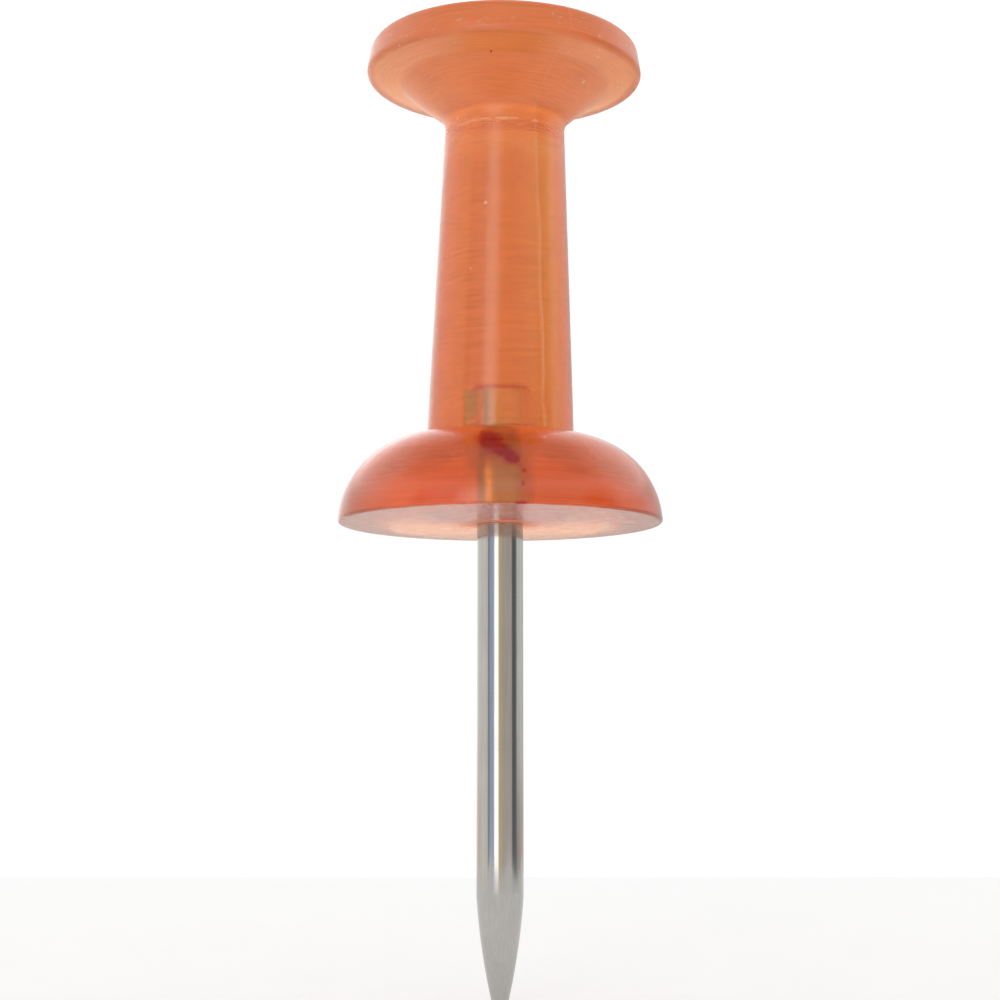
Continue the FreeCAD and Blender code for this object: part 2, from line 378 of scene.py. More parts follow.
@dataclass
class Outline:
    """A half section: points of radius and height, with round corners and arcs."""

    points: list[Point] = field(default_factory=list)
    spacing: float = 0.12 * MM

    def to(self, radius: float, height: float) -> "Outline":
        """Go straight to a point, in even short steps.

        Args:
            radius: the point's radius.
            height: the point's height.

        Returns:
            The outline, for the next call.
        """
        if self.points:
            start = self.points[-1]
            length = math.dist(start, (radius, height))
            steps = max(1, round(length / self.spacing))
            for step in range(1, steps):
                share = step / steps
                across = start[0] + share * (radius - start[0])
                up = start[1] + share * (height - start[1])
                self.points.append((across, up))
        self.points.append((radius, height))
        return self

    def arc(self, centre: Point, radius: float, turn: tuple[float, float], steps: int) -> "Outline":
        """Follow an arc, both of its ends included.

        Args:
            centre: the arc's centre.
            radius: the arc's radius.
            turn: the angles that it starts and ends at, in radians.
            steps: how many short edges it has.

        Returns:
            The outline, for the next call.
        """
        for step in range(steps + 1):
            angle = turn[0] + (turn[1] - turn[0]) * step / steps
            self.to(centre[0] + radius * math.cos(angle), centre[1] + radius * math.sin(angle))
        return self

    def bulge(self, end: Point, height: float, steps: int) -> "Outline":
        """Follow an arc to a point, standing off its chord to the right.

        Args:
            end: the arc's last point.
            height: how far the arc stands off. Below 0 it stands to the left.
            steps: how many short edges it has.

        Returns:
            The outline, for the next call.
        """
        start = Vector(self.points[-1])
        chord = Vector(end) - start
        radius = chord.length_squared / (8.0 * abs(height)) + abs(height) / 2.0
        side = math.copysign(1.0, height)
        right = Vector((chord.y, -chord.x)).normalized() * side
        centre = (start + Vector(end)) / 2.0 - right * (radius - abs(height))
        first = math.atan2(start.y - centre.y, start.x - centre.x)
        half = math.asin(min(1.0, chord.length / 2.0 / radius))
        return self.arc(tuple(centre), radius, (first, first + 2.0 * half * side), steps)

    def corner(self, at: Point, onward: Point, radius: float, steps: int) -> "Outline":
        """Go towards a corner and round it, on the way to the next point.

        Args:
            at: the sharp corner.
            onward: the point that the outline makes for after it.
            radius: the rounding's radius.
            steps: how many short edges the rounding has.

        Returns:
            The outline, for the next call.
        """
        corner = Vector(at)
        back = (Vector(self.points[-1]) - corner).normalized()
        ahead = (Vector(onward) - corner).normalized()
        half = back.angle(ahead) / 2.0
        centre = corner + (back + ahead).normalized() * (radius / math.sin(half))
        start = corner + back * (radius / math.tan(half)) - centre
        end = corner + ahead * (radius / math.tan(half)) - centre
        first = math.atan2(start.y, start.x)
        sweep = math.atan2(end.y, end.x) - first
        sweep = (sweep + math.pi) % TURN - math.pi
        return self.arc(tuple(centre), radius, (first, first + sweep), steps)

    def mesh(self, name: str) -> bpy.types.Mesh:
        """Make the outline a chain of edges in the XZ plane.

        Args:
            name: the mesh's name.

        Returns:
            The mesh.
        """
        kept = [self.points[0]]
        for point in self.points[1:]:
            if math.dist(point, kept[-1]) > 1e-3 * MM:
                kept.append(point)
        mesh = bpy.data.meshes.new(name)
        chain = [(index, index + 1) for index in range(len(kept) - 1)]
        mesh.from_pydata([(radius, 0.0, height) for radius, height in kept], chain, [])
        return mesh


@dataclass(frozen=True)
class Faults:
    """A moulding's small faults: its parting ridge, ripple, lean and shifted disc."""

    ridge_height: float = 0.0
    ridge_width: float = 0.05 * MM
    ridge_angle: float = 0.0
    ridge_twist: float = 0.0
    ridge_wander: float = 0.0
    crowding: float = 0.0
    ripple_height: float = 0.0
    ripple_pitch: float = 0.4 * MM
    lean: float = 0.0
    lean_start: float = 0.0
    lean_end: float = 1.0 * MM
    disc_shift: float = 0.0

    def inputs(self) -> dict[str, float]:
        """Name each value as the lathe's inputs are named."""
        return {name.replace("_", " ").title(): value for name, value in asdict(self).items()}


class LatheTree(ShapeTree):
    """A tree that turns a half section about Z, with a moulding's small faults."""

    weld = 1e-4 * MM
    outside_bore = (1.0 * MM, 1.3 * MM)
    ridge_foot = (2.0 * MM, 2.6 * MM)
    disc_foot = (11.2 * MM, 11.9 * MM)
    wander_scale = 0.45 / MM

    def __init__(self) -> None:
        """Build the tree, with an input for the segments, each fault and the bore's size."""
        bore_size = {"Bore Radius": 0.0, "Bore Depth": 0.0}
        super().__init__("lathe", {"Segments": 256, **Faults().inputs(), **bore_size})
        sheet, place = self._grid()
        place, seam = self._ridge(self._ripple(place))
        marked = self.make("GeometryNodeStoreNamedAttribute", {"Geometry": sheet, "Name": SEAM},
                           data_type="FLOAT", domain="POINT")
        self.join(seam, next(socket for socket in marked.inputs if socket.name == "Value" and socket.enabled))
        shape = self.then("GeometryNodeSetPosition", marked.outputs[0], {"Position": self._lean(place)})
        shape = self.dress(self.then("GeometryNodeMergeByDistance", shape, {"Distance": self.weld}))
        bore = {"Selection": self._in_bore(), "Material": self.inputs["Bore Material"]}
        self.join(self.then("GeometryNodeSetMaterial", shape, bore), self.result)

    def _in_bore(self) -> Socket:
        """Pick the faces of a bore: close to the axis, and below its blind end.

        Returns:
            The socket of the choice.
        """
        radius, _, height = self.polar(self.add("GeometryNodeInputPosition").outputs[0])
        close = self.math("LESS_THAN", radius, self.inputs["Bore Radius"])
        return self.times(close, self.math("LESS_THAN", height, self.inputs["Bore Depth"]))

    def _grid(self) -> tuple[Socket, Socket]:
        """Lay out one column of the section's points for each angle.

        Returns:
            The sheet's socket, and the socket of each point's place.
        """
        section = self.inputs["Geometry"]
        rows = self.make("GeometryNodeAttributeDomainSize", {"Geometry": section}).outputs["Point Count"]
        columns = self.plus(self.inputs["Segments"], 1.0)
        grid = self.make("GeometryNodeMeshGrid", {"Vertices X": columns, "Vertices Y": rows})
        index = self.add("GeometryNodeInputIndex").outputs[0]
        column = self.math("FLOOR", self.over(self.plus(index, 0.5), rows))
        sample = self.add("GeometryNodeSampleIndex", data_type="FLOAT_VECTOR")
        self.join(section, sample.inputs["Geometry"])
        self.join(self.add("GeometryNodeInputPosition").outputs[0], sample.inputs["Value"])
        self.join(self.minus(index, self.times(column, rows)), sample.inputs["Index"])
        angle = self.over(self.times(column, TURN), self.inputs["Segments"])
        from_ridge = self.times(self.minus(angle, self.inputs["Ridge Angle"]), 2.0)
        drawn_in = self.times(self.math("SINE", from_ridge), self.inputs["Crowding"])
        turn = {"Vector": sample.outputs[0], "Angle": self.minus(angle, self.times(drawn_in, 0.5))}
        turned = self.make("ShaderNodeVectorRotate", turn, rotation_type="Z_AXIS")
        return grid.outputs["Mesh"], turned.outputs[0]

    def _push(self, place: Socket, distance: Socket) -> Socket:
        """Move a place away from the axis.

        Args:
            place: where each point is so far.
            distance: how far it moves.

        Returns:
            The new place's socket.
        """
        x, y, _ = self.separate(place)
        away = self.vector("NORMALIZE", self.combine(x, y, 0.0))
        return self.vector("ADD", place, self.scaled(away, distance))

    def _ripple(self, place: Socket) -> Socket:
        """Add the shallow rings that the turning of the mould left.

        Args:
            place: where each point is so far.

        Returns:
            The new place's socket.
        """
        radius, angle, height = self.polar(place)
        pitch = self.inputs["Ripple Pitch"]
        uneven = self.times(self.math("SINE", angle), 0.3)
        along = self.combine(self.over(radius, pitch), uneven, self.over(height, pitch))
        wave = self.minus(self.noise(along, 1.0), 0.5)
        outside = self.remap(radius, self.outside_bore, (0.0, 1.0))
        depth = self.times(self.inputs["Ripple Height"], outside)
        return self._push(place, self.times(wave, depth))

    def _ridge(self, place: Socket) -> tuple[Socket, Socket]:
        """Raise the parting line, where the mould's two halves met.

        Args:
            place: where each point is so far.

        Returns:
            The raised place, and how far each point is up the line's side, from 0 to 1.
        """
        radius, angle, height = self.polar(place)
        wander = self.minus(self.noise(self.combine(0.0, 0.0, height), self.wander_scale), 0.5)
        twist = self.times(height, self.inputs["Ridge Twist"])
        twist = self.plus(twist, self.times(wander, self.inputs["Ridge Wander"]))
        line = self.plus(self.inputs["Ridge Angle"], twist)
        aside = self.times(radius, self.math("SINE", self.minus(angle, line)))
        share = self.over(aside, self.inputs["Ridge Width"])
        bell = self.math("EXPONENT", self.times(self.times(share, share), -1.0))
        outside = self.remap(radius, self.outside_bore, (0.0, 1.0))
        above = self.remap(height, self.ridge_foot, (0.2, 1.0))
        seam = self.times(bell, self.times(outside, above))
        return self._push(place, self.times(seam, self.inputs["Ridge Height"])), seam

    def _lean(self, place: Socket) -> Socket:
        """Tip what lies above the lean's start towards +X, and move the disc aside.

        Args:
            place: where each point is so far.

        Returns:
            The new place's socket.
        """
        height = self.separate(place)[2]
        start = self.inputs["Lean Start"]
        share = self.remap(height, (start, self.inputs["Lean End"]), (0.0, 1.0), smooth=True)
        angle = self.times(self.inputs["Lean"], share)
        turn = {"Vector": place, "Center": self.combine(0.0, 0.0, start), "Angle": angle}
        tipped = self.make("ShaderNodeVectorRotate", turn, rotation_type="Y_AXIS")
        aside = self.remap(height, self.disc_foot, (0.0, 1.0), smooth=True)
        aside = self.times(aside, self.inputs["Disc Shift"])
        return self.vector("ADD", tipped.outputs[0], self.combine(aside, 0.0, 0.0))


class BubbleTree(ShapeTree):
    """A tree that adds small round voids to a moulding."""

    roundness = 3

    def __init__(self) -> None:
        """Build the tree, with inputs for the count, the ring's size, the bubbles' sizes and the seed."""
        super().__init__("bubbles", {
            "Count": 24,
            "Inner Radius": 1.0 * MM,
            "Outer Radius": 3.0 * MM,
            "Lowest": 0.0,
            "Highest": 1.0 * MM,
            "Smallest": 0.02 * MM,
            "Largest": 0.05 * MM,
            "Seed": 11,
        })
        ball = self.make("GeometryNodeMeshIcoSphere", {"Radius": 1.0, "Subdivisions": self.roundness})
        void = {
            "Instance": self.then("GeometryNodeFlipFaces", ball.outputs["Mesh"], {}),
            "Scale": self._random(3, self.inputs["Smallest"], self.inputs["Largest"]),
        }
        where = {"Count": self.inputs["Count"], "Position": self._scatter()}
        points = self.make("GeometryNodePoints", where).outputs[0]
        voids = self.dress(self.then("GeometryNodeInstanceOnPoints", points, void))
        both = self.then("GeometryNodeJoinGeometry", self.inputs["Geometry"], {"Geometry": voids})
        self.join(both, self.result)

    def _random(self, stream: int, low: object, high: object) -> Socket:
        """Draw one number for each bubble, from a stream of its own.

        Args:
            stream: the stream's number.
            low: the least value.
            high: the greatest value.

        Returns:
            The number's socket.
        """
        node = self.add("FunctionNodeRandomValue", data_type="FLOAT")
        lowest, highest = [socket for socket in node.inputs if socket.enabled][:2]
        self.feed(lowest, low)
        self.feed(highest, high)
        self.join(self.plus(self.inputs["Seed"], float(stream)), node.inputs["Seed"])
        return next(socket for socket in node.outputs if socket.enabled)

    def _scatter(self) -> Socket:
        """Spread the bubbles evenly over the ring's plan and its height.

        Returns:
            The socket of the bubbles' places.
        """
        angle = self._random(0, 0.0, TURN)
        squares = [self.math("POWER", self.inputs[name], 2.0) for name in ("Inner Radius", "Outer Radius")]
        radius = self.math("SQRT", self._random(1, *squares))
        height = self._random(2, self.inputs["Lowest"], self.inputs["Highest"])
        x = self.times(radius, self.math("COSINE", angle))
        return self.combine(x, self.times(radius, self.math("SINE", angle)), height)


def new_material(name: str) -> tuple[bpy.types.Material, Tree, bpy.types.Node, bpy.types.Node]:
    """Start a node material.

    Args:
        name: the material's name.

    Returns:
        The material, its tree, its main shader and its output.
    """
    material = bpy.data.materials.new(name)
    material.use_nodes = True
    tree = Tree(material.node_tree)
    shader = material.node_tree.nodes["Principled BSDF"]
    output = material.node_tree.nodes["Material Output"]
    return material, tree, shader, output


@dataclass(frozen=True)
class Spot:
    """A point on a piece's surface, as its material's nodes know it."""

    tree: Tree
    place: Socket
    radius: Socket
    angle: Socket
    height: Socket

    @classmethod
    def of(cls, tree: Tree) -> "Spot":
        """Read the point from a material's nodes."""
        place = tree.add("ShaderNodeTexCoord").outputs["Object"]
        return cls(tree, place, *tree.polar(place))

    def rise(self, heights: Point, shares: Point = (0.0, 1.0), smooth: bool = False) -> Socket:
        """Map a band of heights on a range of shares, and hold it past both ends."""
        return self.tree.remap(self.height, heights, shares, smooth)

    def near_axis(self, radii: Point, shares: Point = (0.0, 1.0), smooth: bool = False) -> Socket:
        """Map a band of radii on a range of shares, and hold it past both ends."""
        return self.tree.remap(self.radius, radii, shares, smooth)

    def noise(self, scale: float, detail: float = 2.0, rough: float = 0.5) -> Socket:
        """Add a noise pattern in all three directions."""
        return self.tree.noise(self.place, scale, detail, rough)


@dataclass(frozen=True)
class DarkPatch:
    """One dark, ragged patch painted on the plastic's surface, in millimetres from the seat's centre."""

    centre: Place
    reach: Place
    slope: float = 0.0

    def away(self, at: Spot) -> Socket:
        """Work out how far a point is from the mark's centre.

        Args:
            at: the point on the surface.

        Returns:
            The distance's socket, 1 at the end of the mark's reach.
        """
        tree = at.tree
        x, y, z = tree.separate(tree.vector("SUBTRACT", at.place, tuple(part * MM for part in self.centre)))
        fallen = tree.minus(z, tree.times(x, self.slope))
        off = [tree.over(part, reach * MM) for part, reach in zip((x, y, fallen), self.reach)]
        return tree.vector("LENGTH", tree.combine(*off))


# Dark patches painted on the plastic's front. The first two overlap as the dark red patch in the dome:
# painted shade where the hidden wire's end darkens the plastic. The next three are small dark specks low on
# the dome, the sixth is painted shade in the gap beside the hole, and the last is a dark speck on the disc.
DARK_PATCHES = (
    DarkPatch((-0.02, -3.80, 1.48), (0.60, 0.90, 0.25), -0.69),
    DarkPatch((-0.25, -3.55, 1.70), (0.38, 0.90, 0.36), -0.30),
    DarkPatch((0.59, -4.18, 0.86), (0.07, 0.30, 0.05)),
    DarkPatch((0.57, -4.28, 0.53), (0.04, 0.30, 0.08)),
    DarkPatch((0.55, -4.32, 0.03), (0.16, 0.20, 0.05)),
    DarkPatch((0.15, -1.15, 0.0), (0.22, 0.22, 0.05)),
    DarkPatch((-0.237, -2.84, 12.20), (0.027, 0.08, 0.027)),
)


@dataclass(frozen=True)
class PlasticFinish:
    """Clear plastic, dyed orange, with the fine rings of a turned mould."""

    name: str = "orange_polystyrene"
    clearness: float = 0.8
    refraction: float = 1.59
    dye: Colour = (0.99, 0.86, 0.70, 1.0)
    dye_density: float = 1000.0
    surface_tint: Colour = (0.80, 0.25, 0.075, 1.0)
    disc_tint: Colour = (0.95, 0.42, 0.155, 1.0)
    seat_tint: Colour = (1.0, 0.85, 0.80, 1.0)
    # Pale colour of chips and scuffs, also painted as highlights along the neck's joint line and the parting
    # ridge.
    nick: Colour = (0.98, 0.86, 0.66, 1.0)
    # Dark red of the patches of painted shade and of the dark specks.
    burnt: Colour = (0.62, 0.008, 0.022, 1.0)
    burnt_scale: float = 8.0 / MM
    burnt_raggedness: float = 2.4
    burnt_edge: Point = (0.75, 1.10)
    # How much the rings' painted light and shade, with the cloudiness, lighten and darken the tint.
    tint_spread: Point = (0.83, 1.20)
    tint_zone: Point = (10.1 * MM, 11.1 * MM)
    seat_tint_zone: Point = (0.8 * MM, 2.0 * MM)
    mottle_scale: float = 3.0 / MM
    cloud_scale: float = 0.9 / MM
    # Paleness painted along the parting ridge, a painted highlight on it.
    seam_paleness: float = 0.14
    dome_haze: float = 0.02
    barrel_haze: float = 0.12
    barrel_zone: Point = (2.4 * MM, 3.4 * MM)
    disc_haze: float = 0.28
    disc_zone: Point = (10.2 * MM, 11.2 * MM)
    haze_spread: float = 0.12
    dome_spread: float = 0.6
    crown_haze: float = 0.5
    crown_zone: Point = (13.0 * MM, 13.3 * MM)
    seat_haze: float = 0.20
    worn_haze: float = 0.30
    worn_zone: Point = (0.7 * MM, 1.3 * MM)
    mark_pitch: float = 0.036 * MM
    mark_depth: float = 4.5e-6
    speck_spacing: float = 0.38 * MM
    speck_size: float = 0.06 * MM
    speck_zone: Point = (11.5 * MM, 12.4 * MM)
    speck_crowding: Point = (0.93, 0.15)
    scuff_spacing: float = 0.09 * MM
    scuff_crowding: float = 16.0
    scuff_share: Point = (0.58, 0.66)
    scuff_top: Point = (12.95 * MM, 13.1 * MM)
    scuff_foot: Point = (12.45 * MM, 12.55 * MM)
    pit_scale: float = 3.5 / MM
    pit_depth: float = 5.0e-5
    rub_depth: float = 2.5e-5
    rub_spacing: float = 0.16 * MM
    wave_scale: float = 0.8 / MM
    wave_depth: float = 2.0e-5
    witness_height: float = 10.8 * MM
    witness_width: float = 0.045 * MM
    witness_wander: float = 0.16 * MM
    witness_rise: float = 2.0e-5
    witness_scale: float = 1.6 / MM
    witness_break_scale: float = 2.8 / MM

    def material(self) -> bpy.types.Material:
        """Build the material.

        Returns:
            The finished material.
        """
        material, tree, shader, output = new_material(self.name)
        shader.inputs["Transmission Weight"].default_value = self.clearness
        shader.inputs["IOR"].default_value = self.refraction
        at = Spot.of(tree)
        rings, cloud = self._rings(at), at.noise(self.cloud_scale)
        # The joint line round the neck is raised and also painted pale, a painted highlight along it.
        witness_and_highlight = self._witness(at)
        chip_and_highlights = tree.math("MAXIMUM", tree.math("MAXIMUM", self._specks(at), witness_and_highlight), self._scuffs(at))
        # Lighter and darker lines along the fine rings are painted light and shade; the cloudiness is the
        # plastic's own.
        ring_shading_and_cloud = tree.plus(tree.times(rings, 0.75), tree.times(cloud, 0.25))
        relief = tree.plus(tree.times(rings, self.mark_depth), self._wear(at))
        relief = tree.plus(relief, tree.times(witness_and_highlight, self.witness_rise))
        bump = tree.make("ShaderNodeBump", {"Strength": 1.0, "Distance": 1.0, "Height": relief})
        tree.join(self._roughness(at, rings, cloud), shader.inputs["Roughness"])
        tree.join(self._tint(at, ring_shading_and_cloud, chip_and_highlights), shader.inputs["Base Color"])
        tree.join(bump.outputs[0], shader.inputs["Normal"])
        depth = tree.make("ShaderNodeVolumeAbsorption", {"Color": self.dye, "Density": self.dye_density})
        tree.join(depth.outputs[0], output.inputs["Volume"])
        return material

    def _rings(self, at: Spot) -> Socket:
        """Make the fine rings of the turned mould.

        Args:
            at: the point on the surface.

        Returns:
            The pattern's socket, about 0.5.
        """
        tree = at.tree
        along = tree.combine(
            tree.over(at.radius, self.mark_pitch),
            tree.times(tree.math("SINE", at.angle), 4.0),
            tree.over(at.height, self.mark_pitch),
        )
        return tree.noise(along, 1.0, detail=3.0, rough=0.6)

    def _roughness(self, at: Spot, rings: Socket, cloud: Socket) -> Socket:
        """Make the rings and some patches a little hazier than the rest.

        Args:
            at: the point on the surface.
            rings: the fine rings.
            cloud: the broad cloudiness.

        Returns:
            The roughness socket.
        """
        tree = at.tree
        mixed = tree.times(tree.plus(rings, cloud), 0.5)
        sides = tree.plus(at.rise(self.barrel_zone, (self.dome_haze, self.barrel_haze)),
                          at.rise(self.disc_zone, (0.0, self.disc_haze - self.barrel_haze)))
        uneven = at.rise(self.barrel_zone, (self.haze_spread * self.dome_spread, self.haze_spread))
        sides = tree.plus(sides, tree.times(tree.remap(mixed, (0.3, 0.7), (0.0, 1.0)), uneven))
        seat = tree.plus(at.near_axis(self.worn_zone, (self.worn_haze, 0.0)), self.seat_haze)
        seat = tree.times(seat, at.rise((0.0, 0.05 * MM), (1.0, 0.0)))
        crown = at.rise(self.crown_zone, (0.0, self.crown_haze))
        return tree.math("MAXIMUM", tree.math("MAXIMUM", sides, crown), seat)

    def _specks(self, at: Spot) -> Socket:
        """Scatter small pale chips, most of them on the disc.

        Args:
            at: the point on the surface.

        Returns:
            The socket of the choice, 1 in a chip.
        """
        tree = at.tree
        grid = {"Vector": at.place, "Scale": 1.0 / self.speck_spacing, "Randomness": 1.0}
        cells = tree.make("ShaderNodeTexVoronoi", grid, feature="F1")
        crowd = at.rise(self.speck_zone, self.speck_crowding)
        size = tree.separate(cells.outputs["Color"])[0]
        kept = tree.remap(size, (crowd, 1.0), (0.0, self.speck_size / self.speck_spacing))
        return tree.math("LESS_THAN", cells.outputs["Distance"], kept)

    def _scuffs(self, at: Spot) -> Socket:
        """Draw the pale scuffs along the rim's lower half.

        Args:
            at: the point on the surface.

        Returns:
            The socket of the scuffs' strength.
        """
        tree = at.tree
        along = tree.combine(
            tree.times(tree.math("SINE", at.angle), self.scuff_crowding),
            tree.times(tree.math("COSINE", at.angle), self.scuff_crowding),
            tree.over(at.height, self.scuff_spacing),
        )
        streaks = tree.remap(tree.noise(along, 1.0, detail=5.0, rough=0.7), self.scuff_share, (0.0, 0.8))
        band = tree.times(at.rise(self.scuff_foot), at.rise(self.scuff_top, (1.0, 0.0)))
        return tree.times(streaks, band)

    def _witness(self, at: Spot) -> Socket:
        """Draw the ragged line that the mould's parts leave round the neck, raised a little and painted pale
        as a highlight along it.

        Args:
            at: the point on the surface.

        Returns:
            The socket of the line's strength.
        """
        tree = at.tree
        wander = tree.minus(at.noise(self.witness_scale, detail=4.0, rough=0.65), 0.5)
        line = tree.plus(self.witness_height, tree.times(wander, self.witness_wander))
        off = tree.math("ABSOLUTE", tree.minus(at.height, line))
        drawn = tree.remap(off, (self.witness_width * 0.4, self.witness_width), (1.0, 0.0))
        return tree.times(drawn, tree.remap(at.noise(self.witness_break_scale), (0.40, 0.60), (0.0, 1.0)))

    def _wear(self, at: Spot) -> Socket:
        """Raise the seat's pits and rubbed rings, and the cloudy waves of the sides.

        Args:
            at: the point on the surface.

        Returns:
            The socket of the height.
        """
        tree = at.tree
        across = tree.combine(tree.over(at.radius, self.rub_spacing), 0.0, 0.0)
        pits = tree.times(at.noise(self.pit_scale, detail=5.0, rough=0.7), self.pit_depth)
        rubbed = tree.times(tree.noise(across, 1.0, detail=4.0, rough=0.7), self.rub_depth)
        share = tree.times(at.rise((0.0, 0.04 * MM), (1.0, 0.0)), at.near_axis(self.worn_zone, (0.15, 1.0)))
        waves = tree.times(at.noise(self.wave_scale, detail=3.0), self.wave_depth)
        return tree.plus(tree.times(tree.plus(pits, rubbed), share), waves)

    def _tint(self, at: Spot, ring_shading_and_cloud: Socket, chip_and_highlights: Socket) -> Socket:
        """Vary the tint: the flow's cloudiness, pale chips and scuffs, painted light and shade along the
        mould's fine rings, painted highlights, and dark patches.

        Args:
            at: the point on the surface.
            ring_shading_and_cloud: the fine rings, painted as light and shade, and the cloudiness together,
                about 0.5.
            chip_and_highlights: 1 where there is a chip, a scuff or a painted highlight, else 0.

        Returns:
            The tint socket.
        """
        tree = at.tree
        tint = tree.blend(at.rise(self.tint_zone, smooth=True), self.surface_tint, self.disc_tint)
        mottle = tree.remap(at.noise(self.mottle_scale, detail=6.0, rough=0.7), (0.40, 0.60), (0.20, 1.0))
        clear_of_pin = at.near_axis(self.seat_tint_zone, (0.25, 1.0), smooth=True)
        on_seat = tree.times(at.rise((0.0, 0.03 * MM), (1.0, 0.0)), tree.times(clear_of_pin, mottle))
        tint = tree.blend(on_seat, tint, self.seat_tint)
        varied = tree.scaled(tint, tree.remap(ring_shading_and_cloud, (0.33, 0.67), self.tint_spread))
        varied = tree.vector("MINIMUM", varied, (1.0, 1.0, 1.0))
        seam = tree.add("ShaderNodeAttribute", attribute_name=SEAM).outputs["Fac"]
        # Paler along the parting ridge: a painted highlight.
        pale = tree.math("MAXIMUM", chip_and_highlights, tree.times(seam, self.seam_paleness))
        # The dark red lays the patches of painted shade and the dark specks over the tint.
        return tree.blend(self._blemishes(at), tree.blend(pale, varied, self.nick), self.burnt)

    def _blemishes(self, at: Spot) -> Socket:
        """Find the parts of the surface that the dark patches cover: painted shade and dark specks.

        Args:
            at: the point on the surface.

        Returns:
            The socket of the share, 1 in a mark and 0 outside.
        """
        tree = at.tree
        ragged = tree.minus(at.noise(self.burnt_scale, detail=5.0, rough=0.75), 0.5)
        ragged = tree.times(ragged, self.burnt_raggedness)
        covered: object = 0.0
        for dark_patch in DARK_PATCHES:
            away = tree.plus(dark_patch.away(at), ragged)
            inside = tree.remap(away, self.burnt_edge, (1.0, 0.0), smooth=True)
            covered = tree.math("MAXIMUM", covered, inside)
        return covered


@dataclass(frozen=True)
class BoreFinish:
    """The bore's glossy wall, moulded against the bright wire.

    It has no depth of its own: the plastic behind it carries on up to the wire.
    """

    name: str = "clear_bore_wall"
    tint: Colour = (0.98, 0.96, 0.94, 1.0)
    refraction: float = 1.59
    smooth: float = 0.01
    scuffed: float = 0.04

    def material(self) -> bpy.types.Material:
        """Build the material.

        Returns:
            The finished material.
        """
        material, tree, shader, _ = new_material(self.name)
        shader.inputs["Transmission Weight"].default_value = 1.0
        shader.inputs["IOR"].default_value = self.refraction
        shader.inputs["Base Color"].default_value = self.tint
        scuffs = Spot.of(tree).noise(3.0 / MM, detail=3.0)
        tree.join(tree.remap(scuffs, (0.4, 0.65), (self.smooth, self.scuffed)), shader.inputs["Roughness"])
        return material


@dataclass(frozen=True)
class SteelFinish:
    """Bright drawn steel wire with a thin plating."""

    name: str = "plated_drawn_steel"
    pale: Colour = (0.50, 0.49, 0.47, 1.0)
    dark: Colour = (0.41, 0.40, 0.38, 1.0)
    # Brighter, bluer tone of the hidden wire: a painted highlight, so that it shows pale and grey through the
    # orange plastic.
    kept_bright: Colour = (0.62, 0.98, 0.98, 1.0)
    # Dark red band of painted shade round the hidden wire, for the dark red that shows through the plastic
    # there.
    stain: Colour = (0.42, 0.0, 0.02, 1.0)
    stain_height: float = 0.82 * MM
    stain_reach: float = 0.11 * MM
    stain_slope: float = 0.16
    stain_wander: float = 0.16 * MM
    smooth: float = 0.06
    worn: float = 0.14
    line_width: float = 0.03 * MM
    line_stretch: float = 40.0
    line_depth: float = 0.25e-6

    def material(self) -> bpy.types.Material:
        """Build the material.

        Returns:
            The finished material.
        """
        material, tree, shader, _ = new_material(self.name)
        shader.inputs["Metallic"].default_value = 1.0
        at = Spot.of(tree)
        x, y, _ = tree.separate(at.place)
        drawn = tree.combine(
            tree.over(x, self.line_width),
            tree.over(y, self.line_width),
            tree.over(at.height, self.line_width * self.line_stretch),
        )
        lines = tree.noise(drawn, 1.0, detail=3.0, rough=0.55)
        tone = tree.plus(tree.times(lines, 0.6), tree.times(at.noise(0.8 / MM, detail=3.0), 0.4))
        bare = tree.ramp(tone, ((0.3, self.dark), (0.7, self.pale)))
        # Above the seat the wire takes the brighter, bluer tone, a painted highlight for how it shows through
        # the plastic.
        kept = tree.blend(at.rise((-0.02 * MM, 0.02 * MM)), bare, self.kept_bright)
        bump = tree.make("ShaderNodeBump", {"Distance": self.line_depth, "Height": lines})
        # The dark red band laid here is painted shade.
        tree.join(tree.blend(self._stain(at, x), kept, self.stain), shader.inputs["Base Color"])
        tree.join(tree.remap(tone, (0.35, 0.65), (self.worn, self.smooth)), shader.inputs["Roughness"])
        tree.join(bump.outputs[0], shader.inputs["Normal"])
        return material

    def _stain(self, at: Spot, x: Socket) -> Socket:
        """Paint a ragged dark red band of painted shade round the hidden wire.

        Args:
            at: the point on the wire.
            x: how far to the right it is.

        Returns:
            The socket of the patch's strength.
        """
        tree = at.tree
        ragged = tree.minus(at.noise(5.0 / MM, detail=4.0, rough=0.65), 0.5)
        slanted = tree.plus(at.height, tree.times(x, self.stain_slope))
        height = tree.plus(slanted, tree.times(ragged, self.stain_wander))
        away = tree.math("ABSOLUTE", tree.minus(height, self.stain_height))
        return tree.remap(away, (self.stain_reach, self.stain_reach * 1.25), (1.0, 0.0), smooth=True)


@dataclass(frozen=True)
class FloorFinish:
    """Pale, plain studio card."""

    name: str = "pale_card"
    pale: Colour = (0.96, 0.96, 0.96, 1.0)
    shade: Colour = (0.94, 0.94, 0.94, 1.0)
    glow: float = 0.15

    def material(self) -> bpy.types.Material:
        """Build the material.

        Returns:
            The finished material.
        """
        material, tree, shader, _ = new_material(self.name)
        grain = Spot.of(tree).noise(0.4 / MM, detail=3.0)
        tree.join(tree.ramp(grain, ((0.3, self.shade), (0.7, self.pale))), shader.inputs["Base Color"])
        shader.inputs["Roughness"].default_value = 0.9
        shader.inputs["Emission Color"].default_value = self.pale
        shader.inputs["Emission Strength"].default_value = self.glow
        return material


